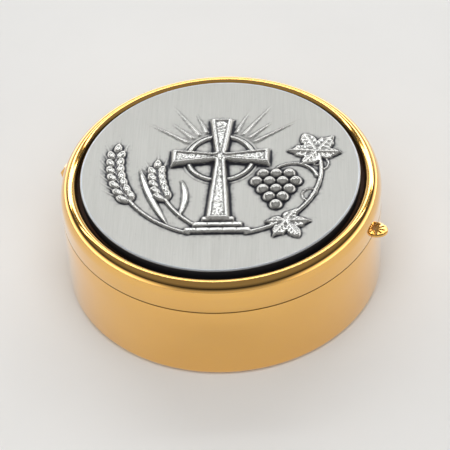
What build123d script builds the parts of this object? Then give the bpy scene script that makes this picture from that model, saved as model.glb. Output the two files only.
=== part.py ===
from build123d import *
import math
import os

# A round pyx: a small hinged box of gold plated brass with a pewter medallion let into its lid.
# Millimetres, +Z up. The origin is the centre of the flat underside.
# The thumb tab points along +X and the hinge is opposite it, along -X.

# Box
body_radius = 25.5
rim_height = 19.0
lid_height = 5.2
seam_gap = 0.1
seam_edge_radius = 0.12
solder_film = 0.03
overrun = 1.0

# Base cup
base_sheet = 0.8
base_foot_radius = 1.0
base_inner_foot_radius = 0.5

# Collar that the lid slides over and snaps on
collar_sheet = 0.6
collar_seat_depth = 5.0
collar_head_room = 0.9
collar_lead_radius = 0.15
snap_pip_radius = 0.5
snap_pip_stand = 0.1
snap_pip_rise = 1.1

# Lid
lid_sheet = 0.65
rim_outer_width = 1.3
rim_outer_drop = 2.6
rim_inner_width = 1.0
rim_inner_drop = 0.3
lid_top_sink = 1.45
quarter_deg = 90.0

# Thumb tab
tab_reach = 2.1
tab_half_width = 1.6
tab_thickness = 0.6
tab_overhang = 0.1
tab_edge_radius = 0.22
tab_flute_count = 5
tab_flute_radius = 0.17
tab_flute_spread_deg = 130.0
tab_flute_reach_share = 0.72

# Hinge
hinge_offset = 0.75
hinge_leaf_width = 5.2
hinge_leaf_height = 2.4
hinge_leaf_lip = 0.35
hinge_leaf_shoulder = 1.0
hinge_stop_reach = 0.45
hinge_open_deg = 110.0
hinge_stop_play_deg = 2.0
knuckle_radius = 0.6
knuckle_length = 1.4
knuckle_side_gap = 0.1
knuckle_round_gap = 0.1
pin_radius = 0.28
pin_running_gap = 0.04
pin_grip_gap = 0.01
pin_stand = 0.15
pin_dome_radius = 0.12

# Medallion
medallion_side_gap = 1.0
medallion_thickness = 1.8
medallion_edge_radius = 0.3
medallion_turn_deg = 17.8
adhesive_margin = 1.7
adhesive_thickness = 0.15

# Relief on the medallion: a cross on steps, wheat at the left and a vine at the right
# Plan sizes are shares of the relief's radius, and places are across and up from its middle
relief_margin = 1.0
cross_height = 0.8
cross_bevel_deg = 35.0
cross_up_share = 0.15
cross_top_arm_share = 0.443
cross_side_arm_share = 0.377
cross_foot_arm_share = 0.698
cross_waist_share = 0.054
cross_flare_share = 0.099
step_count = 3
step_height = 0.5
step_bevel_deg = 25.0
step_rise_share = 0.057
step_half_width_share = 0.123
step_half_growth_share = 0.061
nimbus_height = 0.32
nimbus_bevel_deg = 35.0
nimbus_radius_share = 0.245
nimbus_half_width_share = 0.021
ray_height = 0.18
ray_angles_deg = (36.0, 47.0, 58.0, 69.0)
ray_start_share = 0.311
ray_long_share = 0.406
ray_short_share = 0.255
ray_half_width_share = 0.02
stem_bevel_deg = 30.0
stalk_height = 0.3
stalk_half_width_share = 0.016
tall_stalk_share = ((-0.208, -0.656), (-0.585, -0.406), (-0.783, 0.208))
short_stalk_share = ((-0.16, -0.58), (-0.387, -0.311), (-0.467, 0.019))
vine_height = 0.38
vine_half_width_share = 0.02
vine_share = ((0.208, -0.656), (0.608, -0.406), (0.736, 0.179))
bunch_stem_share = ((0.722, -0.057), (0.594, 0.075), (0.425, 0.033))
ear_start_share = 0.5
tall_ear_pair_count = 7
short_ear_pair_count = 5
grain_height = 0.55
grain_bevel_deg = 25.0
grain_length_share = 0.125
grain_half_width_share = 0.031
grain_offset_share = 0.036
grain_splay_deg = 20.0
grape_row_counts = (3, 4, 3, 2, 1)
grape_radius_share = 0.054
grape_sink_share = 0.014
grape_pitch_share = 0.097
grape_row_drop_share = 0.083
bunch_place_share = (0.42, -0.033)
leaf_height = 0.42
leaf_bevel_deg = 25.0
upper_leaf_size_share = 0.24
upper_leaf_place_share = (0.722, 0.205)
upper_leaf_turn_deg = 25.0
lower_leaf_size_share = 0.2
lower_leaf_place_share = (0.495, -0.545)
lower_leaf_turn_deg = -150.0

# Half of a leaf's edge: the angle from its tip, and how far out the edge is as a share of the leaf's size
leaf_edge_deg_share = (
    (0, 1.0), (16, 0.81), (27, 0.54), (38, 0.74), (48, 0.74), (60, 0.94), (71, 0.74), (81, 0.66),
    (92, 0.48), (104, 0.62), (118, 0.78), (134, 0.60), (150, 0.54), (166, 0.44), (180, 0.12),
)

# Heights and radii that follow from the sizes above
seam_height = rim_height - lid_height
base_top = seam_height - seam_gap / 2
lid_bottom = seam_height + seam_gap / 2
base_bore = body_radius - base_sheet
lid_bore = body_radius - lid_sheet
rim_crest_radius = body_radius - rim_outer_width
recess_radius = rim_crest_radius - rim_inner_width
lid_top_height = rim_height - lid_top_sink
collar_outer = base_bore - solder_film
collar_inner = collar_outer - collar_sheet
collar_bottom = seam_height - collar_seat_depth
collar_top = lid_top_height - lid_sheet - collar_head_room
hinge_x = -(body_radius + hinge_offset)
knuckle_pitch = knuckle_length + knuckle_side_gap
medallion_radius = recess_radius - medallion_side_gap
medallion_field = lid_top_height + adhesive_thickness + medallion_thickness
adhesive_radius = medallion_radius - adhesive_margin
relief_radius = medallion_radius - relief_margin

# A round bar stands on its foot or hangs from its head
on_foot = (Align.CENTER, Align.CENTER, Align.MIN)
from_head = (Align.CENTER, Align.CENTER, Align.MAX)


def base_cup():
    """The drawn cup: a plain wall, a flat bottom and a small radius at the foot."""
    cup = Cylinder(body_radius, base_top, align=on_foot)
    rings = cup.edges().filter_by(GeomType.CIRCLE).sort_by(Axis.Z)
    cup = fillet(rings[0], base_foot_radius)
    rings = cup.edges().filter_by(GeomType.CIRCLE).sort_by(Axis.Z)
    cup = fillet(rings[-1], seam_edge_radius)
    hollow = Pos(0, 0, base_sheet) * Cylinder(base_bore, base_top, align=on_foot)
    rings = hollow.edges().filter_by(GeomType.CIRCLE).sort_by(Axis.Z)
    hollow = fillet(rings[0], base_inner_foot_radius)
    return cup - hollow


def collar():
    """The ring soldered in the mouth of the cup, with a pressed pip that holds the lid shut."""
    height = collar_top - collar_bottom
    ring = Pos(0, 0, collar_bottom) * Cylinder(collar_outer, height, align=on_foot)
    ring -= Pos(0, 0, collar_bottom) * Cylinder(collar_inner, height, align=on_foot)
    rings = ring.edges().filter_by(GeomType.CIRCLE).group_by(Axis.Z)[-1]
    ring = fillet(rings, collar_lead_radius)
    pip_x = collar_outer + snap_pip_stand - snap_pip_radius
    pip = Pos(pip_x, 0, seam_height + snap_pip_rise) * Sphere(snap_pip_radius)
    pip -= Cylinder(collar_inner + collar_sheet / 2, collar_top + overrun, align=on_foot)
    return ring + pip


def lid_shell():
    """The pressed lid: wall, rolled rim open underneath, and the sunk top that holds the medallion."""
    shoulder = rim_height - rim_outer_drop
    lip = rim_height - rim_inner_drop
    hollow_crest = rim_height - lid_sheet
    hollow_width = rim_inner_width - lid_sheet
    hollow_recess = recess_radius + lid_sheet
    under = lid_top_height - lid_sheet
    outside = [
        Line((body_radius, lid_bottom), (body_radius, shoulder)),
        EllipticalCenterArc((rim_crest_radius, shoulder), rim_outer_width, rim_outer_drop,
                            0, arc_size=quarter_deg),
        EllipticalCenterArc((rim_crest_radius, lip), rim_inner_width, rim_inner_drop,
                            quarter_deg, arc_size=quarter_deg),
        Polyline((recess_radius, lip), (recess_radius, lid_top_height), (0, lid_top_height), (0, under)),
    ]
    inside = [
        Polyline((0, under), (hollow_recess, under), (hollow_recess, hollow_crest - hollow_width)),
        EllipticalCenterArc((rim_crest_radius, hollow_crest - hollow_width), hollow_width, hollow_width,
                            quarter_deg, arc_size=quarter_deg),
        EllipticalCenterArc((rim_crest_radius, shoulder), rim_outer_width - lid_sheet,
                            rim_outer_drop - lid_sheet, 0, arc_size=quarter_deg),
        Polyline((lid_bore, shoulder), (lid_bore, lid_bottom), (body_radius, lid_bottom)),
    ]
    lid = revolve(Plane.XZ * make_face(Curve() + outside + inside), Axis.Z)
    outer_seam = lid.edges().filter_by(GeomType.CIRCLE).group_by(Axis.Z)[0].sort_by(SortBy.RADIUS)[-1]
    return fillet(outer_seam, seam_edge_radius)


def thumb_tab():
    """The half-moon lip over the seam: round edged, with flutes that spread from the wall."""
    low = seam_height - tab_overhang
    plan = Pos(body_radius, 0) * Ellipse(tab_reach, tab_half_width)
    tab = extrude(Pos(0, 0, low) * plan, tab_thickness)
    tab = fillet(tab.edges().filter_by(GeomType.ELLIPSE), tab_edge_radius)
    tab -= Cylinder(body_radius + solder_film, rim_height, align=on_foot)
    for number in range(tab_flute_count):
        turn = tab_flute_spread_deg * (number / (tab_flute_count - 1) - 0.5)
        reach = tab_flute_reach_share * tab_reach * tab_half_width / math.hypot(
            tab_half_width * math.cos(math.radians(turn)), tab_reach * math.sin(math.radians(turn)))
        flute = Rot(0, quarter_deg, 0) * Cylinder(tab_flute_radius, reach, align=on_foot)
        flute += Pos(reach, 0, 0) * Sphere(tab_flute_radius)
        tab -= Pos(body_radius, 0, low + tab_thickness) * Rot(0, 0, turn) * flute
    return tab


def knuckle(middle, radius, length):
    """A round bar along the hinge line, centred at a place across the hinge."""
    return Pos(hinge_x, middle, seam_height) * Rot(quarter_deg, 0, 0) * Cylinder(radius, length)


def hinge_leaf(side, own_middles, other_middles, pin_gap):
    """One half of the hinge: side is 1 for the lid's leaf above the seam and -1 for the base's below.
    The sloped ends beside the knuckles meet when the lid is fully open, and stop it."""
    gap = seam_gap / 2
    slope = math.tan(math.radians((hinge_open_deg + hinge_stop_play_deg) / 2))
    wall_side = hinge_offset + body_radius - math.sqrt(body_radius ** 2 - hinge_leaf_width ** 2)
    outline = [
        (wall_side, gap),
        (0, gap),
        (-hinge_stop_reach, gap + hinge_stop_reach * slope),
        (-hinge_stop_reach, max(hinge_leaf_shoulder, gap + hinge_stop_reach * slope)),
        (hinge_offset - hinge_leaf_lip, hinge_leaf_height),
        (wall_side, hinge_leaf_height),
    ]
    points = [(hinge_x + out, seam_height + side * up) for out, up in outline]
    leaf = extrude(Plane.XZ * make_face(Polyline(*points, close=True)), hinge_leaf_width / 2, both=True)
    leaf -= Cylinder(body_radius + solder_film, rim_height, align=on_foot)
    for middle in other_middles:
        leaf -= knuckle(middle, knuckle_radius + knuckle_round_gap, knuckle_length + 2 * knuckle_side_gap)
    for middle in own_middles:
        leaf += knuckle(middle, knuckle_radius, knuckle_length)
    return leaf - knuckle(0, pin_radius + pin_gap, hinge_leaf_width + overrun)


def hinge_pin():
    """The wire through the knuckles, with slightly domed ends."""
    pin = knuckle(0, pin_radius, hinge_leaf_width + 2 * pin_stand)
    return fillet(pin.edges().filter_by(GeomType.CIRCLE), pin_dome_radius)


def adhesive():
    """The thin bonding layer between the sunk top and the medallion."""
    return Pos(0, 0, lid_top_height) * Cylinder(adhesive_radius, adhesive_thickness, align=on_foot)


def full(share):
    """The length or place in millimetres that shares of the relief's radius stand for."""
    if isinstance(share, tuple):
        return tuple(full(one) for one in share)
    return relief_radius * share


def heading(path, place):
    """The direction of a path at a share of its length, in degrees."""
    return math.degrees(math.atan2((path % place).Y, (path % place).X))


def raised(points, height, bevel_deg):
    """A flat-topped form with sloped sides over an outline on the medallion's field."""
    return extrude(make_face(Polyline(*points, close=True)), height, taper=bevel_deg)


def relief_cross():
    """A cross with arms that widen to their ends."""
    waist, flare = full(cross_waist_share), full(cross_flare_share)
    arms = (cross_side_arm_share, cross_top_arm_share, cross_side_arm_share, cross_foot_arm_share)
    points = []
    for number, arm in enumerate(arms):
        turn = Rot(0, 0, number * quarter_deg)
        for along, across in ((waist, -waist), (full(arm), -flare), (full(arm), flare)):
            corner = (turn * Pos(along, across)).position
            points.append((corner.X, corner.Y + full(cross_up_share)))
    return raised(points, cross_height, cross_bevel_deg)


def relief_steps():
    """The steps that the cross stands on, each one wider than the one above."""
    steps = []
    rise = full(step_rise_share)
    high = full(cross_up_share - cross_foot_arm_share) + rise
    half = full(step_half_width_share)
    for _ in range(step_count):
        corners = [(-half, high - rise), (half, high - rise), (half, high), (-half, high)]
        steps.append(raised(corners, step_height, step_bevel_deg))
        high -= rise
        half += full(step_half_growth_share)
    return steps


def relief_nimbus_and_rays():
    """The ring round the crossing, and the low rays that spread from it above the side arms."""
    middle, side = full(nimbus_radius_share), full(nimbus_half_width_share)
    crossing = Pos(0, full(cross_up_share))
    band = Circle(middle + side) - Circle(middle - side)
    forms = [crossing * extrude(band, nimbus_height, taper=nimbus_bevel_deg)]
    start, half = full(ray_start_share), full(ray_half_width_share)
    for number, turn in enumerate(ray_angles_deg):
        tip = start + full(ray_short_share if number % 2 else ray_long_share)
        ray = extrude(make_face(Polyline((start, -half), (tip, 0), (start, half), close=True)), ray_height)
        for angle in (turn, 2 * quarter_deg - turn):
            forms.append(crossing * Rot(0, 0, angle) * ray)
    return forms


def stem(shares, height, half_width_share):
    """A stem with sloped sides along an arc through three places on the field."""
    path = ThreePointArc(*full(shares))
    return extrude(SlotArc(path, 2 * full(half_width_share)), height, taper=stem_bevel_deg)


def grain():
    """One pointed grain, lying along X."""
    half, side = full(grain_length_share) / 2, full(grain_half_width_share)
    belly = ThreePointArc((-half, 0), (0, -side), (half, 0))
    back = ThreePointArc((half, 0), (0, side), (-half, 0))
    return extrude(make_face(belly + back), grain_height, taper=grain_bevel_deg)


def wheat_ear(shares, pair_count):
    """A stalk with pairs of grains along its upper part and one at its tip."""
    path = ThreePointArc(*full(shares))
    half, side = full(grain_length_share) / 2, full(grain_offset_share)
    forms = [stem(shares, stalk_height, stalk_half_width_share)]
    seed = grain()
    for number in range(pair_count):
        place = ear_start_share + (1 - ear_start_share) * number / pair_count
        for way in (-1, 1):
            spot = Pos(path @ place) * Rot(0, 0, heading(path, place)) * Pos(half, way * side)
            forms.append(spot * Rot(0, 0, way * grain_splay_deg) * seed)
    forms.append(Pos(path @ 1) * Rot(0, 0, heading(path, 1)) * Pos(half, 0) * seed)
    return forms


def grape_bunch():
    """Rows of round grapes that narrow to one at the bottom."""
    forms = []
    middle, high = full(bunch_place_share)
    for row, count in enumerate(grape_row_counts):
        for number in range(count):
            across = middle + (number - (count - 1) / 2) * full(grape_pitch_share)
            up = high - row * full(grape_row_drop_share)
            forms.append(Pos(across, up, -full(grape_sink_share)) * Sphere(full(grape_radius_share)))
    return forms


def vine_leaf(size_share, place_share, turn):
    """A leaf with five lobes and sloped edges. Its tip is up before it is turned."""
    tip, *flank, notch = leaf_edge_deg_share
    other_flank = [(-angle, out) for angle, out in reversed(flank)]
    points = []
    for angle, out in [tip, *flank, notch, *other_flank]:
        reach = full(size_share) * out
        points.append((-reach * math.sin(math.radians(angle)), reach * math.cos(math.radians(angle))))
    return Pos(*full(place_share)) * Rot(0, 0, turn) * raised(points, leaf_height, leaf_bevel_deg)


def medallion():
    """The pewter casting: a round plate with the whole relief on its field."""
    plate = Cylinder(medallion_radius, medallion_thickness, align=from_head)
    plate = fillet(plate.edges().filter_by(GeomType.CIRCLE).sort_by(Axis.Z)[-1], medallion_edge_radius)
    forms = [relief_cross(), *relief_steps(), *relief_nimbus_and_rays()]
    forms += wheat_ear(tall_stalk_share, tall_ear_pair_count)
    forms += wheat_ear(short_stalk_share, short_ear_pair_count)
    forms.append(stem(vine_share, vine_height, vine_half_width_share))
    forms.append(stem(bunch_stem_share, stalk_height, stalk_half_width_share))
    forms += grape_bunch()
    forms.append(vine_leaf(upper_leaf_size_share, upper_leaf_place_share, upper_leaf_turn_deg))
    forms.append(vine_leaf(lower_leaf_size_share, lower_leaf_place_share, lower_leaf_turn_deg))
    return Pos(0, 0, medallion_field) * Rot(0, 0, medallion_turn_deg) * (plate + forms)


base_knuckles = (-knuckle_pitch, knuckle_pitch)
lid_knuckles = (0,)
parts = {
    "base_cup": base_cup(),
    "collar": collar(),
    "hinge_base_leaf": hinge_leaf(-1, base_knuckles, lid_knuckles, pin_grip_gap),
    "hinge_pin": hinge_pin(),
    "lid_shell": lid_shell(),
    "hinge_lid_leaf": hinge_leaf(1, lid_knuckles, base_knuckles, pin_running_gap),
    "thumb_tab": thumb_tab(),
    "medallion_adhesive": adhesive(),
    "medallion": medallion(),
}

os.makedirs("parts", exist_ok=True)
for name, solid in parts.items():
    export_step(solid, f"parts/{name}.step")
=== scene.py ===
import math

import bpy
import numpy as np
from mathutils import Matrix, Vector


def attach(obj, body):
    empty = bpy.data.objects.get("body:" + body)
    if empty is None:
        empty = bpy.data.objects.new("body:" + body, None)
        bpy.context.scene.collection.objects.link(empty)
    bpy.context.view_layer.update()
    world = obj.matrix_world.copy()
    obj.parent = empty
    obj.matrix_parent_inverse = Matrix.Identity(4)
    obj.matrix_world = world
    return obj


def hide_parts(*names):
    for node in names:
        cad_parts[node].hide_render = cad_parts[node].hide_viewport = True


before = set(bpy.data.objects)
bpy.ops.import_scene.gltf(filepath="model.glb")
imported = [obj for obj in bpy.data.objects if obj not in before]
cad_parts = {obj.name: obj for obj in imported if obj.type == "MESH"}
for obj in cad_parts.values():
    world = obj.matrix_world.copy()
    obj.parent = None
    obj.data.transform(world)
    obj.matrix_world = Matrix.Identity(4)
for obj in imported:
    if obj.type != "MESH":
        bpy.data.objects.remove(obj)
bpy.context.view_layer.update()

# The scene is in metres. Sizes are written in millimetres, as in the CAD source, and MM turns them
# into metres.
MM = 0.001

# The whole box
BODY_RADIUS = 25.5
SEAM_HEIGHT = 13.8
SEAM_HALF_GAP = 0.05
RIM_HEIGHT = 19.0

# Base cup. The foot, the inner foot and the lip at the seam are radii of rounded edges.
BASE_SHEET = 0.8
BASE_FOOT = 1.0
BASE_INNER_FOOT = 0.5
BASE_LIP = 0.15

# Lid shell. The crest and inner lip of the rolled rim follow the photograph's highlights, and the hollow
# under the rim keeps the CAD section's places.
LID_SHEET = 0.65
LID_LIP = 0.12
LID_TOP_HEIGHT = 17.55
RIM_CREST_RADIUS = 23.85
RIM_SHOULDER_DROP = 2.6
RIM_LIP_DROP = 0.8
RIM_HOLLOW_RADIUS = 24.2
RIM_HOLLOW_WIDTH = 1.0
RECESS_RADIUS = 22.8

# Thumb tab
TAB_REACH = 2.1
TAB_HALF_WIDTH = 1.6
TAB_TOP_HEIGHT = 14.3

# Medallion
MEDALLION_RADIUS = 22.2
MEDALLION_BOTTOM = 17.7
MEDALLION_FIELD = 19.5
MEDALLION_EDGE = 0.3
MEDALLION_TURN = math.radians(17.8)
RELIEF_RADIUS = 21.2

# Rings of points on flat and straight stretches, which keep the smooth shading even there
DISC_RING = 12.0
BASE_WALL_RINGS = (4.0, 7.0, 10.0)
BORE_RING = 8.0
LID_WALL_RING = 15.0

# How finely the meshes are made, the angle over which an edge is sharp, and what counts as nothing
TURN_SEGMENTS = 256
FIELD_CELLS = 300
SHELL_SHARP_DEG = 35.0
MEDALLION_SHARP_DEG = 60.0
TINY = 1e-6


# Smooth turned shells

# The ends of a section's quarter arcs, in degrees from straight outwards
OUTER, TOP, INNER, BOTTOM = 0, 90, 180, -90


def arc(middle, across, high, start_deg, end_deg, steps):
    """Points of part of an ellipse in (radius, height)."""
    points = []
    for number in range(steps + 1):
        turn = math.radians(start_deg + (end_deg - start_deg) * number / steps)
        points.append((middle[0] + across * math.cos(turn), middle[1] + high * math.sin(turn)))
    return points


def lathe(name, outline):
    """A solid of revolution round +Z from a closed outline of (radius, height) in millimetres."""
    outline = [place for number, place in enumerate(outline) if math.dist(place, outline[number - 1]) > TINY]
    rings, vertices, faces = [], [], []
    for radius, height in outline:
        if radius < TINY:
            rings.append([len(vertices)] * TURN_SEGMENTS)
            vertices.append((0.0, 0.0, height * MM))
            continue
        rings.append(list(range(len(vertices), len(vertices) + TURN_SEGMENTS)))
        for number in range(TURN_SEGMENTS):
            turn = 2 * math.pi * number / TURN_SEGMENTS
            vertices.append((radius * MM * math.cos(turn), radius * MM * math.sin(turn), height * MM))
    for row, ring in enumerate(rings):
        other = rings[(row + 1) % len(rings)]
        both_on_axis = ring[0] == ring[1] and other[0] == other[1]
        if both_on_axis:
            continue
        for number in range(TURN_SEGMENTS):
            after = (number + 1) % TURN_SEGMENTS
            corners = [ring[number], ring[after], other[after], other[number]]
            faces.append(list(dict.fromkeys(corners)))
    return mesh_object(name, vertices, faces, SHELL_SHARP_DEG)


def mesh_object(name, vertices, faces, sharp_deg):
    """A smooth shaded mesh object with sharp edges over a given angle."""
    mesh = bpy.data.meshes.new(name)
    mesh.from_pydata(vertices, [], faces)
    mesh.validate()
    mesh.polygons.foreach_set("use_smooth", [True] * len(mesh.polygons))
    mesh.set_sharp_from_angle(angle=math.radians(sharp_deg))
    mesh.update()
    made = bpy.data.objects.new(name, mesh)
    bpy.context.scene.collection.objects.link(made)
    return made


def base_outline():
    """The cup's section: underside, foot, wall, lip at the seam, bore and inner floor."""
    top, bore = SEAM_HEIGHT - SEAM_HALF_GAP, BODY_RADIUS - BASE_SHEET
    points = [(0.0, 0.0), (DISC_RING, 0.0)]
    points += arc((BODY_RADIUS - BASE_FOOT, BASE_FOOT), BASE_FOOT, BASE_FOOT, BOTTOM, OUTER, steps=12)
    points += [(BODY_RADIUS, high) for high in BASE_WALL_RINGS]
    points += arc((BODY_RADIUS - BASE_LIP, top - BASE_LIP), BASE_LIP, BASE_LIP, OUTER, TOP, steps=6)
    points += [(bore, top), (bore, BORE_RING)]
    inner_foot = (bore - BASE_INNER_FOOT, BASE_SHEET + BASE_INNER_FOOT)
    points += arc(inner_foot, BASE_INNER_FOOT, BASE_INNER_FOOT, OUTER, BOTTOM, steps=6)
    points += [(DISC_RING, BASE_SHEET), (0.0, BASE_SHEET)]
    return points


def lid_outline():
    """The lid's section: lip at the seam, wall, rolled rim, recess, sunk top, and the hollow underneath."""
    bottom, shoulder = SEAM_HEIGHT + SEAM_HALF_GAP, RIM_HEIGHT - RIM_SHOULDER_DROP
    outer_width, inner_width = BODY_RADIUS - RIM_CREST_RADIUS, RIM_CREST_RADIUS - RECESS_RADIUS
    inner_lip = (RIM_CREST_RADIUS, RIM_HEIGHT - RIM_LIP_DROP)
    points = arc((BODY_RADIUS - LID_LIP, bottom + LID_LIP), LID_LIP, LID_LIP, BOTTOM, OUTER, steps=6)
    points += [(BODY_RADIUS, LID_WALL_RING)]
    points += arc((RIM_CREST_RADIUS, shoulder), outer_width, RIM_SHOULDER_DROP, OUTER, TOP, steps=32)
    points += arc(inner_lip, inner_width, RIM_LIP_DROP, TOP, INNER, steps=16)
    points += [(RECESS_RADIUS, LID_TOP_HEIGHT), (DISC_RING, LID_TOP_HEIGHT), (0.0, LID_TOP_HEIGHT)]
    under, hollow = LID_TOP_HEIGHT - LID_SHEET, RIM_HOLLOW_WIDTH - LID_SHEET
    points += [(0.0, under), (RECESS_RADIUS + LID_SHEET, under)]
    points += arc((RIM_HOLLOW_RADIUS, RIM_HEIGHT - LID_SHEET - hollow), hollow, hollow, INNER, TOP, steps=6)
    hollow_outer, hollow_drop = BODY_RADIUS - RIM_HOLLOW_RADIUS - LID_SHEET, RIM_SHOULDER_DROP - LID_SHEET
    points += arc((RIM_HOLLOW_RADIUS, shoulder), hollow_outer, hollow_drop, TOP, OUTER, steps=10)
    points += [(BODY_RADIUS - LID_SHEET, bottom)]
    return points


# Relief: a height map in the picture's own directions, across and up, in millimetres. Names that end in
# share or shares are shares of RELIEF_RADIUS, or of the leaf, curl or edge that they belong to. The rest are
# millimetres, degrees or samples of the map.

MAP_STEP = 0.05
AXIS = np.arange(-MEDALLION_RADIUS, MEDALLION_RADIUS + MAP_STEP, MAP_STEP)
HEIGHT = np.zeros((len(AXIS), len(AXIS)))

# A distance past any on the map, and the least width that a section may have
FAR = 1e9
THIN = 1e-4

# The cross's middle above the picture's, and its arms to the right, up, to the left and down
CROSS_UP_SHARE = 0.15
CROSS_ARM_SHARES = (0.377, 0.443, 0.377, 0.698)
CROSS_WAIST_SHARE = 0.054
CROSS_FLARE_SHARE = 0.099
NIMBUS_SHARE = 0.245
RAY_DIRECTIONS_DEG = (36.0, 47.0, 58.0, 69.0)
LONG_RAY_SHARE = 0.406
SHORT_RAY_SHARE = 0.255
GRAIN_HALF_LENGTH_SHARE = 0.0625
GRAIN_HALF_WIDTH_SHARE = 0.032
GRAPE_SHARE = 0.054
GRAPE_ROWS = (3, 4, 3, 2, 1)
LEAF_RIBS_DEG = (-118, -60, 0, 60, 118)

# A vine leaf's outline from its tip to its stalk: degrees from the tip, and the share of the leaf's size
LEAF_EDGE_SHARES = np.array((
    (0, 1.0), (16, 0.81), (27, 0.54), (38, 0.74), (48, 0.74), (60, 0.94), (71, 0.74), (81, 0.66),
    (92, 0.48), (104, 0.62), (118, 0.78), (134, 0.60), (150, 0.54), (166, 0.44), (180, 0.12),
))


def full(share):
    """Shares of the relief's radius in millimetres."""
    return np.asarray(share, dtype=float) * RELIEF_RADIUS


def patch(points, margin):
    """The part of the map near some points: its slices, and the places across and up in it."""
    points = np.asarray(points, dtype=float).reshape(-1, 2)
    low = np.searchsorted(AXIS, points.min(axis=0) - margin)
    high = np.searchsorted(AXIS, points.max(axis=0) + margin)
    cols, rows = slice(low[0], high[0]), slice(low[1], high[1])
    across, up = np.meshgrid(AXIS[cols], AXIS[rows])
    return (rows, cols), across, up


def lift(area, values):
    """Raises the map to the values where they are higher."""
    HEIGHT[area] = np.maximum(HEIGHT[area], values)


def line_distance(across, up, path):
    """Distance to a path of points, and the share of its length at the nearest place."""
    path = np.asarray(path, dtype=float)
    steps = np.hypot(*np.diff(path, axis=0).T)
    starts = np.concatenate(([0], np.cumsum(steps)))
    nearest, place = np.full(across.shape, FAR), np.zeros(across.shape)
    for number, ((x0, y0), (x1, y1)) in enumerate(zip(path[:-1], path[1:])):
        dx, dy = x1 - x0, y1 - y0
        if dx == dy == 0:
            continue
        share = np.clip(((across - x0) * dx + (up - y0) * dy) / (dx * dx + dy * dy), 0, 1)
        away = np.hypot(across - x0 - share * dx, up - y0 - share * dy)
        closer = away < nearest
        nearest = np.where(closer, away, nearest)
        place = np.where(closer, starts[number] + share * steps[number], place)
    return nearest, place / starts[-1]


def depth_inside(across, up, corners):
    """Distance in from the edge of an outline, negative outside it."""
    closed = list(corners) + [corners[0]]
    away, _ = line_distance(across, up, closed)
    inside = np.zeros(across.shape, dtype=bool)
    for (x0, y0), (x1, y1) in zip(closed[:-1], closed[1:]):
        if y0 != y1:
            inside ^= ((y0 > up) != (y1 > up)) & (across < (x1 - x0) * (up - y0) / (y1 - y0) + x0)
    return np.where(inside, away, -away)


def round_ridge(away, half_width, height):
    """A half-round section over the distance from its middle line."""
    return height * np.sqrt(np.clip(1 - (away / half_width) ** 2, 0, 1))


def groove(away, width, depth):
    """The depth of a soft groove over the distance from its middle line."""
    return depth * np.exp(-((away / width) ** 2))


def bevelled(depth, height, bevel_deg):
    """A flat top with sloped sides."""
    return np.clip(depth / math.tan(math.radians(bevel_deg)), 0, height)


def arc_path(shares, count=60):
    """Points along the circle through three places."""
    (ax, ay), (bx, by), (cx, cy) = full(shares)
    d = 2 * (ax * (by - cy) + bx * (cy - ay) + cx * (ay - by))
    a2, b2, c2 = ax * ax + ay * ay, bx * bx + by * by, cx * cx + cy * cy
    mx = (a2 * (by - cy) + b2 * (cy - ay) + c2 * (ay - by)) / d
    my = (a2 * (cx - bx) + b2 * (ax - cx) + c2 * (bx - ax)) / d
    radius = math.hypot(ax - mx, ay - my)
    turns = np.unwrap([math.atan2(y - my, x - mx) for x, y in ((ax, ay), (bx, by), (cx, cy))])
    turn = np.linspace(turns[0], turns[2], count)
    return np.column_stack((mx + radius * np.cos(turn), my + radius * np.sin(turn)))


def blur(values, sigma):
    """A Gaussian blur, with sigma in samples."""
    reach = max(1, int(3 * sigma))
    weights = np.exp(-0.5 * (np.arange(-reach, reach + 1) / sigma) ** 2)
    weights /= weights.sum()
    for axis in (0, 1):
        padded = np.pad(values, [(reach, reach) if a == axis else (0, 0) for a in (0, 1)], mode="edge")
        values = sum(w * np.take(padded, range(n, n + values.shape[axis]), axis=axis)
                     for n, w in enumerate(weights))
    return values


def carve_cross():
    """The cross: a raised border round a lower, matted panel."""
    waist, flare = full(CROSS_WAIST_SHARE), full(CROSS_FLARE_SHARE)
    height, side_deg, border, panel_slope, panel_depth = 0.8, 35, 0.86, 0.1, 0.17
    matting_height, matting_sigma = 0.018, 1.6
    points = []
    for number, arm in enumerate(CROSS_ARM_SHARES):
        cos, sin = round(math.cos(number * math.pi / 2)), round(math.sin(number * math.pi / 2))
        for along, side in ((waist, -waist), (full(arm), -flare), (full(arm), flare)):
            points.append((along * cos - side * sin, along * sin + side * cos + full(CROSS_UP_SHARE)))
    area, across, up = patch(points, margin=0.2)
    depth = depth_inside(across, up, points)
    panel = np.clip((depth - border) / panel_slope, 0, 1)
    matting = blur(np.random.default_rng(4).standard_normal(across.shape), matting_sigma)
    matting = matting / matting.std()
    lift(area, bevelled(depth, height, side_deg) - panel * (panel_depth + matting_height * matting))


def carve_steps():
    """Three steps with joints between their stones."""
    rise, half, half_growth = full(0.057), full(0.123), full(0.061)
    height, height_loss, side_deg = 0.5, 0.02, 25
    joint_width, joint_depth, joint_least_height, joint_shifts = 0.07, 0.13, 0.05, (-0.2, 0.35, -0.2)
    _, _, _, down_share = CROSS_ARM_SHARES
    high = full(CROSS_UP_SHARE - down_share) + rise
    for number, joint_shift in enumerate(joint_shifts):
        corners = [(-half, high - rise), (half, high - rise), (half, high), (-half, high)]
        area, across, up = patch(corners, margin=0.2)
        values = bevelled(depth_inside(across, up, corners), height - height_loss * number, side_deg)
        for joint in np.linspace(-half, half, 4 + number)[1:-1] + joint_shift:
            cut = values - groove(across - joint, joint_width, joint_depth)
            values = np.where(values > joint_least_height, cut, values)
        lift(area, np.clip(values, 0, None))
        high -= rise
        half += half_growth


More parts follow.
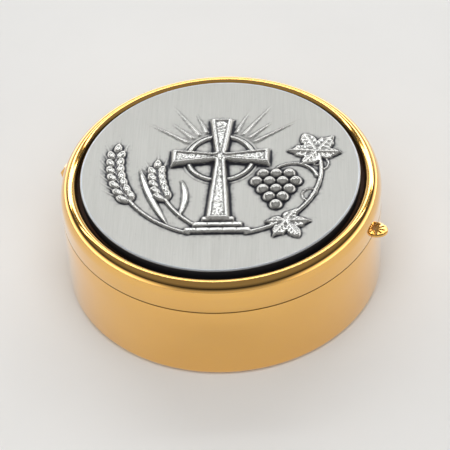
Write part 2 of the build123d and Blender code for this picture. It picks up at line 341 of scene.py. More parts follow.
def carve_nimbus_and_rays():
    """The ring with a fine line outside it, and ridged rays of two lengths."""
    ring, ring_half_width, ring_height = full(NIMBUS_SHARE), full(0.0215), 0.34
    line_gap, line_half_width, line_height = 0.8, 0.13, 0.1
    ray_start, ray_half_width, ray_height, ray_rounding = full(0.311), full(0.021), 0.2, 0.7
    middle, reach = full(CROSS_UP_SHARE), full(0.75)
    area, across, up = patch([(-reach, middle - reach), (reach, middle + reach)], margin=0.2)
    out = np.hypot(across, up - middle)
    lift(area, round_ridge(out - ring, ring_half_width, ring_height))
    lift(area, round_ridge(out - ring - line_gap, line_half_width, line_height))
    turn = np.degrees(np.arctan2(up - middle, across))
    for number, ray in enumerate(RAY_DIRECTIONS_DEG):
        length = full(SHORT_RAY_SHARE if number % 2 else LONG_RAY_SHARE)
        for angle in (ray, 180 - ray):
            along = out * np.cos(np.radians(turn - angle)) - ray_start
            side = np.abs(out * np.sin(np.radians(turn - angle)))
            half = ray_half_width * np.clip(1 - along / length, 0, 1)
            ridge = ray_height * np.clip(1 - side / np.maximum(half, TINY), 0, 1) ** ray_rounding
            lift(area, np.where((along > 0) & (along < length), ridge, 0))


def carve_stem(shares, height, half_width_share, taper=0.3):
    """A half-round stem that gets a little thinner and lower to its end."""
    path, height_taper = arc_path(shares), 0.4 * taper
    area, across, up = patch(path, margin=1.0)
    away, place = line_distance(across, up, path)
    half_width = full(half_width_share) * (1 - taper * place)
    lift(area, round_ridge(away, half_width, height * (1 - height_taper * place)))


def carve_grain(spot, heading_deg, awn):
    """One grain with a crease down its back and a fine awn from its tip."""
    half, side = full(GRAIN_HALF_LENGTH_SHARE), full(GRAIN_HALF_WIDTH_SHARE)
    width_rounding, height_rounding = 0.8, 0.45
    height, crease_width, crease_depth, crease_least_height = 0.56, 0.07, 0.12, 0.2
    awn_half_width, awn_height, awn_taper = 0.11, 0.17, 0.6
    cos, sin = math.cos(math.radians(heading_deg)), math.sin(math.radians(heading_deg))
    tip = (spot[0] + cos * half, spot[1] + sin * half)
    end = (tip[0] + cos * awn, tip[1] + sin * awn)
    area, across, up = patch([(spot[0] - cos * half, spot[1] - sin * half), end], margin=1.0)
    along = (across - spot[0]) * cos + (up - spot[1]) * sin
    off = -(across - spot[0]) * sin + (up - spot[1]) * cos
    left = 1 - (along / half) ** 2
    width = side * np.clip(left, THIN, 1) ** width_rounding
    body = round_ridge(off, width, height) * np.clip(left, 0, 1) ** height_rounding
    body = body - groove(off, crease_width, crease_depth) * (body > crease_least_height)
    lift(area, np.where(np.abs(along) < half, body, 0))
    away, place = line_distance(across, up, [tip, end])
    thinner = 1 - awn_taper * place
    lift(area, round_ridge(away, awn_half_width * thinner, awn_height * thinner))


def carve_ear(shares, pair_count, awn):
    """A stalk with pairs of grains along its upper half and one at its tip."""
    half, side, splay_deg, awn_loss = full(GRAIN_HALF_LENGTH_SHARE), full(0.036), 20, 0.35
    carve_stem(shares, height=0.3, half_width_share=0.016, taper=0.15)
    last = 200
    path = arc_path(shares, last + 1)
    for number in range(pair_count + 1):
        done = number / pair_count
        place = min(last, round(last * (0.5 + 0.5 * done)))
        before, after = path[max(place - 1, 0)], path[min(place + 1, last)]
        heading = math.atan2(after[1] - before[1], after[0] - before[0])
        for way in (-1, 1) if number < pair_count else (0,):
            spot = (path[place][0] + half * math.cos(heading) - way * side * math.sin(heading),
                    path[place][1] + half * math.sin(heading) + way * side * math.cos(heading))
            carve_grain(spot, math.degrees(heading) + way * splay_deg, awn * (1 - awn_loss * done))


def carve_blade(shares, half_width_share, height):
    """A long narrow leaf of the wheat, pointed at both ends, with a crease."""
    crease_width, crease_depth, crease_least_height = 0.08, 0.09, 0.1
    tip_share, rounding = 0.001, 0.7
    path = arc_path(shares)
    area, across, up = patch(path, margin=1.2)
    away, place = line_distance(across, up, path)
    swell = np.sin(np.pi * np.clip(place, tip_share, 1 - tip_share)) ** rounding
    ridge = round_ridge(away, np.maximum(full(half_width_share) * swell, THIN), height)
    crease = groove(away, crease_width, crease_depth) * (ridge > crease_least_height)
    lift(area, np.clip(ridge - crease, 0, None))


def nearest_rib(along, side, out):
    """For each place in a leaf, the distance to its nearest rib and how far along that rib it lies."""
    nearest, run = np.full(out.shape, FAR), np.zeros(out.shape)
    for rib in LEAF_RIBS_DEG:
        cos, sin = math.cos(math.radians(rib)), math.sin(math.radians(rib))
        forward, off = along * cos + side * sin, -along * sin + side * cos
        gap = np.where(forward > 0, np.abs(off), out)
        closer = gap < nearest
        nearest, run = np.where(closer, gap, nearest), np.where(closer, forward, run)
    return nearest, run


def carve_leaf(size_share, place_share, turn_deg):
    """A vine leaf with five lobes, a toothed edge, ribs and side veins."""
    size, place, turn = full(size_share), full(place_share), math.radians(turn_deg)
    height, edge_width, edge_slope, edge_rounding, edge_least = 0.42, 0.3, 0.8, 0.6, 0.1
    tooth_count, tooth_share, tooth_middle_share = 13, 0.035, 0.02
    rib_fall, rib_reach, rib_height, rib_width = 0.1, 0.7, 0.06, 0.11
    vein_depth, vein_spacing_share, vein_lean, vein_sharpness = 0.06, 0.17, 0.75, 6
    vein_start, vein_fade = 0.12, 0.2
    area, across, up = patch([place - size, place + size], margin=0.3)
    x, y = across - place[0], up - place[1]
    along, side = -x * math.sin(turn) + y * math.cos(turn), x * math.cos(turn) + y * math.sin(turn)
    out, angle = np.hypot(along, side), np.degrees(np.arctan2(np.abs(side), along))
    teeth = 1 + tooth_share * np.abs(np.sin(np.radians(angle) * tooth_count)) - tooth_middle_share
    edge = size * np.interp(angle, LEAF_EDGE_SHARES[:, 0], LEAF_EDGE_SHARES[:, 1]) * teeth
    depth = (edge - out) * edge_slope
    blade = height * np.clip(depth / edge_width, 0, 1) ** edge_rounding
    nearest, run = nearest_rib(along, side, out)
    wave = np.sin((run - vein_lean * nearest) * math.pi / (vein_spacing_share * size))
    veins = np.abs(wave) ** vein_sharpness
    blade = blade - rib_fall * np.clip(nearest / rib_reach, 0, 1)
    blade = blade - vein_depth * (1 - veins) * np.clip((nearest - vein_start) / vein_fade, 0, 1)
    blade = blade + groove(nearest, rib_width, rib_height)
    least = edge_least * np.clip(depth / edge_least, 0, 1)
    lift(area, np.where(depth > 0, np.clip(blade, least, None), 0))


def carve_bunch():
    """Round grapes in rows, with a small dot where each flower was."""
    radius, sink, middle = full(GRAPE_SHARE), full(0.014), full((0.42, -0.033))
    spacing, row_spacing = full(0.097), full(0.083)
    dot_across, dot_down, dot_width, dot_depth = 0.1, 0.22, 0.1, 0.05
    for row, count in enumerate(GRAPE_ROWS):
        for number in range(count):
            spot = (middle[0] + (number - (count - 1) / 2) * spacing, middle[1] - row * row_spacing)
            area, across, up = patch([spot], margin=radius + 0.1)
            out = np.hypot(across - spot[0], up - spot[1])
            ball = np.sqrt(np.clip(radius ** 2 - out ** 2, 0, None)) - sink
            dot = np.hypot(across - spot[0] - dot_across, up - spot[1] + dot_down)
            lift(area, np.clip(ball - groove(dot, dot_width, dot_depth), 0, None))


def carve_tendril(start_share, turn_deg, size, coils, way):
    """A thin curl that winds tighter to its end."""
    half_width, height, taper = 0.17, 0.2, 0.4
    step_count, step_share, tightening = 90, 0.075, 1.2
    done = np.linspace(0, 1, step_count)
    angle = math.radians(turn_deg) + way * done * coils * 2 * math.pi
    reach = size * (1 - done) ** tightening
    steps = np.column_stack((np.cos(angle), np.sin(angle))) * reach[:, None] * step_share
    path = np.cumsum(steps, axis=0) + full(start_share)
    area, across, up = patch(path, margin=0.6)
    away, place = line_distance(across, up, path)
    lift(area, round_ridge(away, half_width * (1 - taper * place), height))


def hollows(soft, sigma, weight, depth):
    """How far each place lies below its surroundings, as a weighted share of a depth."""
    return weight * np.clip(blur(soft, sigma) - soft, 0, None) / depth


def carve_relief():
    """Fills the height map, and returns it softened as a casting is, with how sunk each place is."""
    carve_nimbus_and_rays()
    carve_blade(((-0.37, -0.56), (-0.5, -0.28), (-0.6, 0.05)), half_width_share=0.028, height=0.28)
    carve_blade(((-0.3, -0.5), (-0.25, -0.3), (-0.29, -0.08)), half_width_share=0.024, height=0.26)
    carve_ear(((-0.208, -0.656), (-0.585, -0.406), (-0.783, 0.208)), pair_count=7, awn=2.9)
    carve_ear(((-0.16, -0.58), (-0.387, -0.311), (-0.467, 0.019)), pair_count=5, awn=2.5)
    carve_stem(((0.208, -0.656), (0.608, -0.406), (0.736, 0.179)), height=0.38, half_width_share=0.02)
    carve_stem(((0.722, -0.057), (0.594, 0.075), (0.425, 0.033)), height=0.3, half_width_share=0.016)
    carve_tendril((0.748, 0.0), turn_deg=20, size=2.7, coils=1.5, way=1)
    carve_tendril((0.655, -0.33), turn_deg=150, size=2.3, coils=1.4, way=-1)
    carve_bunch()
    carve_leaf(0.24, (0.722, 0.205), turn_deg=25)
    carve_leaf(0.2, (0.495, -0.545), turn_deg=-150)
    carve_steps()
    carve_cross()
    soft = blur(HEIGHT, sigma=1.1)
    wide = hollows(soft, sigma=12, weight=0.7, depth=0.2)
    narrow = hollows(soft, sigma=3.5, weight=1.2, depth=0.09)
    return soft, np.clip(wide + narrow, 0, 1)


def sample(values, across, up):
    """The map's values at any places, in between its samples."""
    col, row = (across - AXIS[0]) / MAP_STEP, (up - AXIS[0]) / MAP_STEP
    c0 = np.clip(col.astype(int), 0, len(AXIS) - 2)
    r0 = np.clip(row.astype(int), 0, len(AXIS) - 2)
    fc, fr = col - c0, row - r0
    top = values[r0, c0] * (1 - fc) + values[r0, c0 + 1] * fc
    low = values[r0 + 1, c0] * (1 - fc) + values[r0 + 1, c0 + 1] * fc
    return top * (1 - fr) + low * fr


# The value named sunk is 0 to 1 on the relief, where it darkens the hollows with patina. The casting's
# rounded edge is marked for a painted highlight, as on a rubbed edge, and its side for painted shade.
RUBBED_HIGHLIGHT = -1.0
SIDE_SHADE = 1.0

# The height at which a place counts as fully raised, how near the field's edge counts as on it, and the
# share of the rounded edge's width that gets a painted highlight, as on a rubbed edge
RAISED_HEIGHT = 0.22
EDGE_TOLERANCE = 0.01
RUBBED_HIGHLIGHT_SHARE = 0.8
EDGE_STEPS = 4


def disc_grid(radius):
    """A square grid pressed into a disc: its places, its faces and the corners round its edge."""
    line = np.linspace(-1, 1, FIELD_CELLS + 1)
    u, v = np.meshgrid(line, line)
    across = (radius * u * np.sqrt(1 - v * v / 2)).ravel()
    up = (radius * v * np.sqrt(1 - u * u / 2)).ravel()
    index = np.arange((FIELD_CELLS + 1) ** 2).reshape(FIELD_CELLS + 1, FIELD_CELLS + 1)
    faces = np.stack((index[:-1, :-1], index[:-1, 1:], index[1:, 1:], index[1:, :-1]), axis=-1)
    ring = list(index[0, :-1]) + list(index[:-1, -1]) + list(index[-1, :0:-1]) + list(index[:0:-1, 0])
    return across, up, faces.reshape(-1, 4).tolist(), ring


def add_side(points, marks, faces, ring, radius):
    """Adds the casting's rounded edge, its side and its underside, ring by ring."""
    section = [(MEDALLION_EDGE * math.sin(turn), MEDALLION_EDGE * (math.cos(turn) - 1))
               for turn in np.linspace(0, math.pi / 2, EDGE_STEPS + 1)[1:]]
    section.append((MEDALLION_EDGE, MEDALLION_BOTTOM - MEDALLION_FIELD))
    for out, high in section:
        following = list(range(len(points), len(points) + len(ring)))
        # The upper part of the rounded edge gets a painted highlight, and the rest of it and the side get
        # painted shade
        mark = SIDE_SHADE if out > RUBBED_HIGHLIGHT_SHARE * MEDALLION_EDGE else RUBBED_HIGHLIGHT
        for corner in ring:
            grow = (radius + out) / math.hypot(points[corner][0], points[corner][1])
            points.append((points[corner][0] * grow, points[corner][1] * grow, high))
            marks.append(mark)
        for number in range(len(ring)):
            after = (number + 1) % len(ring)
            faces.append([ring[number], following[number], following[after], ring[after]])
        ring = following
    faces.append(ring[::-1])


def medallion_mesh():
    """The casting, with two values at each point: how sunk it is, and how raised."""
    soft, sunk = carve_relief()
    radius = MEDALLION_RADIUS - MEDALLION_EDGE
    across, up, faces, ring = disc_grid(radius)
    points = list(zip(across, up, sample(soft, across, up)))
    on_edge = np.hypot(across, up) > radius - EDGE_TOLERANCE
    # The field's edge is marked for a painted highlight
    marks = list(np.where(on_edge, RUBBED_HIGHLIGHT, sample(sunk, across, up)))
    add_side(points, marks, faces, ring, radius)
    cos, sin = math.cos(MEDALLION_TURN), math.sin(MEDALLION_TURN)
    vertices = [((x * cos - y * sin) * MM, (x * sin + y * cos) * MM, (MEDALLION_FIELD + z) * MM)
                for x, y, z in points]
    made = mesh_object("medallion_relief", vertices, faces, MEDALLION_SHARP_DEG)
    raised = [min(max(z / RAISED_HEIGHT, 0.0), 1.0) for x, y, z in points]
    for name, values in (("sunk", marks), ("raised", raised)):
        store = made.data.attributes.new(name, "FLOAT", "POINT")
        store.data.foreach_set("value", np.array(values, dtype=np.float32))
    return made


# Nodes


def new_material(name):
    """A node material: its tree, and its Principled shader."""
    made = bpy.data.materials.new(name)
    made.use_nodes = True
    return made, made.node_tree, made.node_tree.nodes["Principled BSDF"]


def feed(tree, term, socket):
    """Gives a socket a value, a colour or a link."""
    if isinstance(term, bpy.types.NodeSocket):
        tree.links.new(term, socket)
    elif isinstance(term, tuple):
        socket.default_value = (*term, 1.0)
    else:
        socket.default_value = term


def node(tree, kind, **values):
    """A node with its settings and unlinked inputs set by name."""
    made = tree.nodes.new(kind)
    for key, value in values.items():
        if hasattr(made, key):
            setattr(made, key, value)
        else:
            made.inputs[key.replace("_", " ")].default_value = value
    return made


def spread(tree, source, low, high, from_low=0.3, from_high=0.7):
    """A value brought from one range to another. The default range is the one that noise mostly has."""
    step = node(tree, "ShaderNodeMapRange")
    for name, value in (("From Min", from_low), ("From Max", from_high), ("To Min", low), ("To Max", high)):
        step.inputs[name].default_value = value
    tree.links.new(source, step.inputs["Value"])
    return step.outputs["Result"]


def fade(tree, source, ends, at_start, at_end):
    """A value that changes between two places given in millimetres."""
    return spread(tree, source, at_start, at_end, ends[0] * MM, ends[1] * MM)


def combine(tree, operation, *terms):
    """The result of one sum, where each term is a number or a socket."""
    made = node(tree, "ShaderNodeMath", operation=operation)
    for number, term in enumerate(terms):
        feed(tree, term, made.inputs[number])
    return made.outputs[0]


def blend(tree, factor, first, second, blend_type="MIX"):
    """A mix of two colours, where each term is a value or a socket."""
    made = node(tree, "ShaderNodeMix", data_type="RGBA", blend_type=blend_type)
    for name, term in (("Factor", factor), ("A", first), ("B", second)):
        feed(tree, term, made.inputs[name])
    return made.outputs["Result"]


def noise(tree, scale, detail=4.0, turn=0.0, packing=(1.0, 1.0, 1.0)):
    """Noise in the piece's own coordinates, turned about Z. Packing above 1 makes it finer along an axis."""
    place = node(tree, "ShaderNodeTexCoord")
    mapping = node(tree, "ShaderNodeMapping", vector_type="TEXTURE")
    mapping.inputs["Rotation"].default_value = (0.0, 0.0, turn)
    mapping.inputs["Scale"].default_value = [1.0 / finer for finer in packing]
    made = node(tree, "ShaderNodeTexNoise", Scale=scale, Detail=detail)
    tree.links.new(place.outputs["Object"], mapping.inputs["Vector"])
    tree.links.new(mapping.outputs["Vector"], made.inputs["Vector"])
    return made.outputs["Fac"]


def bump(tree, height, strength, distance, under=None):
    """A normal with fine relief, over another normal where one is given."""
    made = node(tree, "ShaderNodeBump", Strength=strength, Distance=distance)
    tree.links.new(height, made.inputs["Height"])
    if under is not None:
        tree.links.new(under, made.inputs["Normal"])
    return made.outputs["Normal"]


# Painted shade: a dark colour put where shade falls in narrow places of the gold. Each pair is where it
# starts to change and where it has changed, in millimetres, or as a share of the tab's ellipse.

SEAM_SHADE = 0.85
SEAM_SHADE_REACH = (0.10, 0.18)
SEAM_SHADE_OUTER_RADII = (25.45, 25.53)
SEAM_SHADE_INNER_RADII = (25.2, 25.32)
RECESS_SHADE_RADII = (23.05, 23.2)
RECESS_SHADE_TOP_HEIGHTS = (17.95, 18.3)
RECESS_SHADE_BOTTOM_HEIGHTS = (17.3, 17.4)
FLUTE_SHADE = 0.6
FLUTE_SHADE_TAB_SHARES = (0.58, 0.72)
FLUTE_SHADE_DEPTHS = (0.01, 0.09)
FLUTE_SHADE_END_DEPTHS = (0.2, 0.25)


def seam_shade(tree, out, high):
    """Painted shade on the rounded lips at the seam, but not on the flat faces that meet there."""
    off_seam = combine(tree, "ABSOLUTE", combine(tree, "SUBTRACT", high, SEAM_HEIGHT * MM))
    near = fade(tree, off_seam, SEAM_SHADE_REACH, SEAM_SHADE, 0.0)
    near = combine(tree, "MULTIPLY", near, fade(tree, out, SEAM_SHADE_OUTER_RADII, 1.0, 0.0))
    return combine(tree, "MULTIPLY", near, fade(tree, out, SEAM_SHADE_INNER_RADII, 0.0, 1.0))


def recess_shade(tree, out, high):
    """Painted shade on the sunk top round the medallion and low on the recess's wall."""
    low = combine(tree, "MULTIPLY",
                  fade(tree, out, RECESS_SHADE_RADII, 1.0, 0.0),
                  fade(tree, high, RECESS_SHADE_TOP_HEIGHTS, 1.0, 0.0))
    return combine(tree, "MULTIPLY", low, fade(tree, high, RECESS_SHADE_BOTTOM_HEIGHTS, 0.0, 1.0))


def flute_shade(tree, parts, high):
    """Painted shade in the flutes on top of the thumb tab."""
    along = combine(tree, "DIVIDE",
                    combine(tree, "SUBTRACT", parts.outputs["X"], BODY_RADIUS * MM), TAB_REACH * MM)
    aside = combine(tree, "DIVIDE", parts.outputs["Y"], TAB_HALF_WIDTH * MM)
    share = combine(tree, "ADD",
                    combine(tree, "MULTIPLY", along, along), combine(tree, "MULTIPLY", aside, aside))
    below = combine(tree, "SUBTRACT", TAB_TOP_HEIGHT * MM, high)
    cut = combine(tree, "MULTIPLY",
                  spread(tree, share, 1.0, 0.0, *FLUTE_SHADE_TAB_SHARES),
                  fade(tree, below, FLUTE_SHADE_DEPTHS, 0.0, FLUTE_SHADE))
    return combine(tree, "MULTIPLY", cut, fade(tree, below, FLUTE_SHADE_END_DEPTHS, 1.0, 0.0))


def narrow_place_shade(tree):
    """1 where shade is painted: low in the recess, on the lips at the seam and in the tab's flutes."""
    place = node(tree, "ShaderNodeTexCoord")
    parts = node(tree, "ShaderNodeSeparateXYZ")
    tree.links.new(place.outputs["Object"], parts.inputs["Vector"])
    square = [combine(tree, "MULTIPLY", parts.outputs[axis], parts.outputs[axis]) for axis in ("X", "Y")]
    out = combine(tree, "SQRT", combine(tree, "ADD", *square))
    high = parts.outputs["Z"]
    round_lid = combine(tree, "MAXIMUM", recess_shade(tree, out, high), seam_shade(tree, out, high))
    return combine(tree, "MAXIMUM", round_lid, flute_shade(tree, parts, high))


# Materials

# Colours
OUTER_GOLD = (0.95, 0.52, 0.085)
INNER_GOLD = (0.92, 0.58, 0.22)
GOLD_SMEAR = (0.97, 0.94, 0.88)
# A dark colour painted as shade in the gold's narrow places
PAINTED_SHADE = (0.045, 0.017, 0.006)
# Dark patina in the relief's hollows, and painted shade on the casting's side
PEWTER = (0.43, 0.426, 0.403)
PEWTER_PATINA_AND_SHADE = (0.035, 0.036, 0.046)
# A painted highlight for raised places, partly the rubbing of high points
PEWTER_RAISED_HIGHLIGHT = (0.67, 0.67, 0.65)
# A pale, bluish painted highlight for the casting's rubbed edge
PEWTER_RUBBED_HIGHLIGHT = (0.58, 0.61, 0.65)
GLUE = (0.05, 0.045, 0.035)
GLUE_YELLOWED = (0.09, 0.075, 0.05)

# Gold plate: a strong clear coat pales it at a slant, the painted shade makes it rougher, and its smears lie
# askew
COAT_IOR = 1.9
COAT_ROUGHNESS = 0.04
PAINTED_SHADE_ROUGHNESS = 0.6
SMEAR_TURN = 0.4

# Pewter: tones of the brushed lines, how far spots vary the dirt, and the ranges of the value named sunk
# over which the metal darkens with patina and painted shade, loses the painted highlight of raised places,
# gets the rubbed edge's painted highlight and turns matt
BRUSHED_TONES = (0.92, 1.03)
SPOT_DIRT = 0.16
PATINA_AND_SHADE_RANGE = (0.12, 0.85)
RAISED_HIGHLIGHT = 0.7
RAISED_HIGHLIGHT_RANGE = (0.0, 0.25)
RUBBED_HIGHLIGHT_RANGE = (-0.9, -0.2)
PEWTER_METALLIC = 0.75
PEWTER_ROUGHNESS = (0.32, 0.38)
RAISED_SMOOTHING = 0.18
SUNK_ROUGHENING = 0.3
MATT_RANGE = (0.6, 1.0)


def gold(name, colour, rough_low, rough_high, wave):
    """Polished, lacquered gold plate with soft smears, fine polishing lines and painted shade in narrow
    places.
    """
    made, tree, shader = new_material(name)
    # Painted shade: where shade falls in narrow places, the gold is darkened and roughened and loses its
    # metal and coat
    painted_shade = narrow_place_shade(tree)
    unshaded = combine(tree, "SUBTRACT", 1.0, painted_shade)
    smeared = tuple(part * change for part, change in zip(colour, GOLD_SMEAR))
    patches = noise(tree, scale=90.0, detail=3.0)
    tint = blend(tree, spread(tree, patches, 0.0, 1.0), colour, smeared)
    smears = noise(tree, scale=160.0, detail=5.0, turn=SMEAR_TURN, packing=(1.0, 1.0, 1.6))
    rough = spread(tree, smears, rough_low, rough_high)
    lines = noise(tree, scale=2600.0, detail=3.0, packing=(0.15, 0.15, 6.0))
    fine = bump(tree, lines, strength=0.05, distance=0.00002)
    swells = noise(tree, scale=120.0, detail=1.0, packing=(1.0, 1.0, 0.6))
    broad = bump(tree, swells, strength=wave, distance=0.0002, under=fine)
    rougher = combine(tree, "ADD", rough, combine(tree, "MULTIPLY", painted_shade, PAINTED_SHADE_ROUGHNESS))
    for socket, term in (
        ("Base Color", blend(tree, painted_shade, tint, PAINTED_SHADE)), ("Metallic", unshaded), ("Roughness", rougher),
        ("Normal", broad), ("Coat Weight", unshaded), ("Coat Roughness", COAT_ROUGHNESS), ("Coat IOR", COAT_IOR),
    ):
        feed(tree, term, shader.inputs[socket])
    return made


def pewter_colour(tree, lines, sunk, raised):
    """Grey with dark patina in sunk places and painted shade on the casting's side, a painted highlight on
    raised places, partly the rubbing of high points, and a pale bluish painted highlight on the rubbed rim,
    with brushed lines.
    """
    spots = spread(tree, noise(tree, scale=1500.0, detail=5.0), -SPOT_DIRT, SPOT_DIRT)
    dirt_and_shade = combine(tree, "ADD", spots, sunk)
    shade = blend(tree, spread(tree, dirt_and_shade, 0.0, 1.0, *PATINA_AND_SHADE_RANGE), PEWTER, PEWTER_PATINA_AND_SHADE)
    highlighted = combine(tree, "MULTIPLY", raised, spread(tree, sunk, RAISED_HIGHLIGHT, 0.0, *RAISED_HIGHLIGHT_RANGE))
    highlit = blend(tree, highlighted, shade, PEWTER_RAISED_HIGHLIGHT)
    rubbed_highlight = blend(tree, spread(tree, sunk, 1.0, 0.0, *RUBBED_HIGHLIGHT_RANGE), highlit, PEWTER_RUBBED_HIGHLIGHT)
    tone = node(tree, "ShaderNodeCombineColor")
    for channel in ("Red", "Green", "Blue"):
        tree.links.new(spread(tree, lines, *BRUSHED_TONES), tone.inputs[channel])
    return blend(tree, 1.0, rubbed_highlight, tone.outputs["Color"], blend_type="MULTIPLY")


def pewter(name):
    """Satin brushed pewter, dark and matt in the sunk places of the relief and smoother on raised ones."""
    made, tree, shader = new_material(name)
    lines = noise(tree, scale=9000.0, detail=3.0, turn=MEDALLION_TURN, packing=(1.0, 0.02, 1.0))
    broad = noise(tree, scale=1400.0, detail=4.0, turn=MEDALLION_TURN, packing=(1.0, 0.05, 1.0))
    sunk, raised = (node(tree, "ShaderNodeAttribute", attribute_name=mark).outputs["Fac"]
                    for mark in ("sunk", "raised"))
    smoothing = combine(tree, "MULTIPLY", raised, RAISED_SMOOTHING)
    rough = combine(tree, "SUBTRACT", spread(tree, broad, *PEWTER_ROUGHNESS), smoothing)
    matt = spread(tree, sunk, 0.0, SUNK_ROUGHENING, *MATT_RANGE)
    feed(tree, pewter_colour(tree, lines, sunk, raised), shader.inputs["Base Color"])
    feed(tree, PEWTER_METALLIC, shader.inputs["Metallic"])
    feed(tree, combine(tree, "ADD", rough, matt), shader.inputs["Roughness"])
    feed(tree, bump(tree, lines, strength=0.35, distance=0.00003), shader.inputs["Normal"])
    return made


def glue(name):
    """Dull adhesive that has yellowed a little."""
    made, tree, shader = new_material(name)
    tint = blend(tree, spread(tree, noise(tree, scale=700.0), 0.0, 1.0), GLUE, GLUE_YELLOWED)
    feed(tree, tint, shader.inputs["Base Color"])
    feed(tree, 0.6, shader.inputs["Roughness"])
    return made


# Build the object

gold_outer = gold("gold_plate", OUTER_GOLD, rough_low=0.07, rough_high=0.12, wave=0.05)
gold_inner = gold("gold_plate_inner", INNER_GOLD, rough_low=0.12, rough_high=0.22, wave=0.08)
pewter_cast = pewter("pewter")
adhesive = glue("adhesive")

base = lathe("base_cup_turned", base_outline())
lid = lathe("lid_shell_turned", lid_outline())
medal = medallion_mesh()
for piece, body, cad, finish, slot in (
    (base, "base", "base_cup", gold_outer, "gold_plate"),
    (lid, "lid", "lid_shell", gold_outer, "gold_plate"),
    (medal, "lid", "medallion", pewter_cast, "pewter"),
):
    piece.data.materials.append(finish)
    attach(piece, body)
    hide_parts(cad)

for cad, finish in (
    ("collar", gold_inner), ("hinge_base_leaf", gold_outer), ("hinge_lid_leaf", gold_outer),
    ("hinge_pin", gold_outer), ("thumb_tab", gold_outer), ("medallion_adhesive", adhesive),
):
    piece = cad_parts[cad]
    piece.data.materials.clear()
    piece.data.materials.append(finish)


# Studio, in metres

# The camera, fitted to the photograph's outlines. Its sensor's width is in millimetres.
PHOTO_PIXELS = 450.0
FOCAL_PIXELS = 2132.35
SENSOR_WIDTH = 36.0
CAMERA_DISTANCE_IN_RADII = 13.7365
CAMERA_TURN = math.radians(22.0)
CAMERA_ELEVATION = math.radians(44.43)
CAMERA_ROLL = math.radians(3.6276)
CAMERA_PAN = -0.00081
CAMERA_TILT = 0.01647
CAMERA_CLIP = (0.01, 20.0)

# Lamps: azimuth and elevation in degrees, distance, width, height, radiance, colour. Azimuth 0 is on the
# camera's side, and 180 is behind the object.
COOL = (0.96, 0.985, 1.0)
WHITE = (1.0, 1.0, 1.0)
WARM = (1.0, 0.985, 0.96)
BACK_LAMPS = {
    "back": (180, 23, 0.8, 1.1, 0.66, 0.5, COOL),
    "back_key": (180, 43, 0.78, 1.0, 0.056, 4.8, COOL),
    "back_high": (180, 56, 0.8, 1.1, 0.066, 4.6, WHITE),
}
FRONT_FILL = (0, 62, 1.0, 1.0, 1.0, 2.4, WARM)

# The room: how bright its walls and ceiling are, and the sines of elevation between which each one changes.
# The walls give the pale sheen low on the metal. They dim to a share on the camera's side, between two
# cosines of the angle to it.
ROOM_COLOUR = (1.0, 0.98, 0.96)
WALL_STRENGTH = 2.3
WALL_TOP_SINES = (0.10, 0.42)
CEILING_STRENGTH = 0.25
UNDER_CEILING_STRENGTH = 0.03
CEILING_SINES = (0.45, 0.78)
CAMERA_SIDE_SHARE = 0.25
CAMERA_SIDE_COSINES = (0.40, 0.85)

FLOOR_SIZE = 6.0
FLOOR = (0.79, 0.79, 0.785)
FLOOR_DARKER = (0.76, 0.76, 0.755)


def turned(vector, axis, angle):
    """A vector turned about an axis."""
    return Matrix.Rotation(angle, 3, axis) @ vector


def place_camera():
    """The camera at the photograph's viewing angle."""
    spot = Vector((0, -math.cos(CAMERA_ELEVATION), math.sin(CAMERA_ELEVATION))) * CAMERA_DISTANCE_IN_RADII
    forward, right = -spot.normalized(), Vector((1, 0, 0))
    up = right.cross(forward)
    forward, right = turned(forward, up, CAMERA_PAN), turned(right, up, CAMERA_PAN)
    forward, up = turned(forward, right, CAMERA_TILT), turned(up, right, CAMERA_TILT)
    right, up = turned(right, forward, CAMERA_ROLL), turned(up, forward, CAMERA_ROLL)
    swing = Matrix.Rotation(CAMERA_TURN, 3, "Z")
    pose = Matrix((swing @ right, swing @ up, -(swing @ forward))).transposed().to_4x4()
    pose.translation = swing @ spot * (BODY_RADIUS * MM)
    data = bpy.data.cameras.new("camera")
    data.sensor_width = SENSOR_WIDTH
    data.lens = SENSOR_WIDTH * FOCAL_PIXELS / PHOTO_PIXELS
    data.clip_start, data.clip_end = CAMERA_CLIP
    made = bpy.data.objects.new("camera", data)
    made.matrix_world = pose
    bpy.context.scene.collection.objects.link(made)
    bpy.context.scene.camera = made


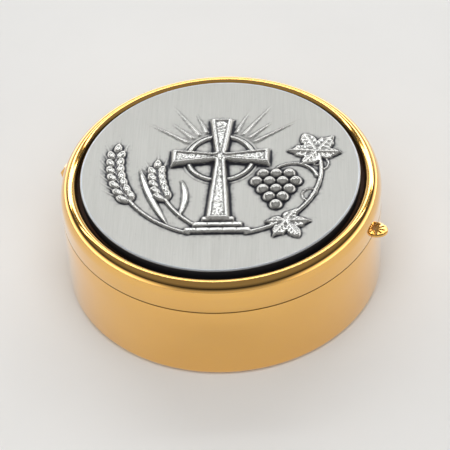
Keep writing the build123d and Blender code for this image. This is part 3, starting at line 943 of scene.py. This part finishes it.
def softbox(name, azimuth_deg, elevation_deg, distance, width, height, radiance, colour):
    """An area lamp that faces the object from a distance."""
    turn, high = CAMERA_TURN + math.radians(azimuth_deg), math.radians(elevation_deg)
    way = Vector((math.sin(turn) * math.cos(high), -math.cos(turn) * math.cos(high), math.sin(high)))
    spot = way * distance
    data = bpy.data.lights.new(name, "AREA")
    data.shape, data.size, data.size_y = "RECTANGLE", width, height
    data.energy = radiance * math.pi * width * height
    data.color = colour
    made = bpy.data.objects.new(name, data)
    made.location = spot
    made.rotation_euler = (-spot).to_track_quat("-Z", "Y").to_euler()
    bpy.context.scene.collection.objects.link(made)
    return made


def room():
    """A room with pale walls low down, dim on the camera's side, and a dim ceiling."""
    world = bpy.data.worlds.new("room")
    bpy.context.scene.world = world
    world.use_nodes = True
    tree = world.node_tree
    glow = tree.nodes["Background"]
    view = node(tree, "ShaderNodeTexCoord").outputs["Generated"]
    parts = node(tree, "ShaderNodeSeparateXYZ")
    tree.links.new(view, parts.inputs["Vector"])
    high = parts.outputs["Z"]
    towards = node(tree, "ShaderNodeVectorMath", operation="DOT_PRODUCT")
    towards.inputs[1].default_value = (math.sin(CAMERA_TURN), -math.cos(CAMERA_TURN), 0.0)
    tree.links.new(view, towards.inputs[0])
    wall = combine(tree, "MULTIPLY",
                   spread(tree, high, WALL_STRENGTH, 0.0, *WALL_TOP_SINES),
                   spread(tree, towards.outputs["Value"], 1.0, CAMERA_SIDE_SHARE, *CAMERA_SIDE_COSINES))
    ceiling = spread(tree, high, UNDER_CEILING_STRENGTH, CEILING_STRENGTH, *CEILING_SINES)
    feed(tree, ROOM_COLOUR, glow.inputs["Color"])
    feed(tree, combine(tree, "MAXIMUM", wall, ceiling), glow.inputs["Strength"])


def lay_floor():
    """A plain pale floor, very slightly uneven in tone."""
    made, tree, shader = new_material("floor")
    tint = blend(tree, spread(tree, noise(tree, scale=30.0), 0.0, 1.0), FLOOR, FLOOR_DARKER)
    feed(tree, tint, shader.inputs["Base Color"])
    feed(tree, 0.7, shader.inputs["Roughness"])
    feed(tree, 0.2, shader.inputs["Specular IOR Level"])
    bpy.ops.mesh.primitive_plane_add(size=FLOOR_SIZE, location=(0, 0, 0))
    floor = bpy.context.object
    floor.name = "floor"
    floor.data.materials.append(made)


def studio():
    """The floor, the room, softboxes behind the object, and a fill in front that no metal mirrors."""
    lay_floor()
    room()
    for name, lamp in BACK_LAMPS.items():
        softbox(name, *lamp)
    fill = softbox("front_fill", *FRONT_FILL)
    fill.visible_glossy = False


studio()
place_camera()
bpy.context.scene.view_settings.view_transform = "Standard"
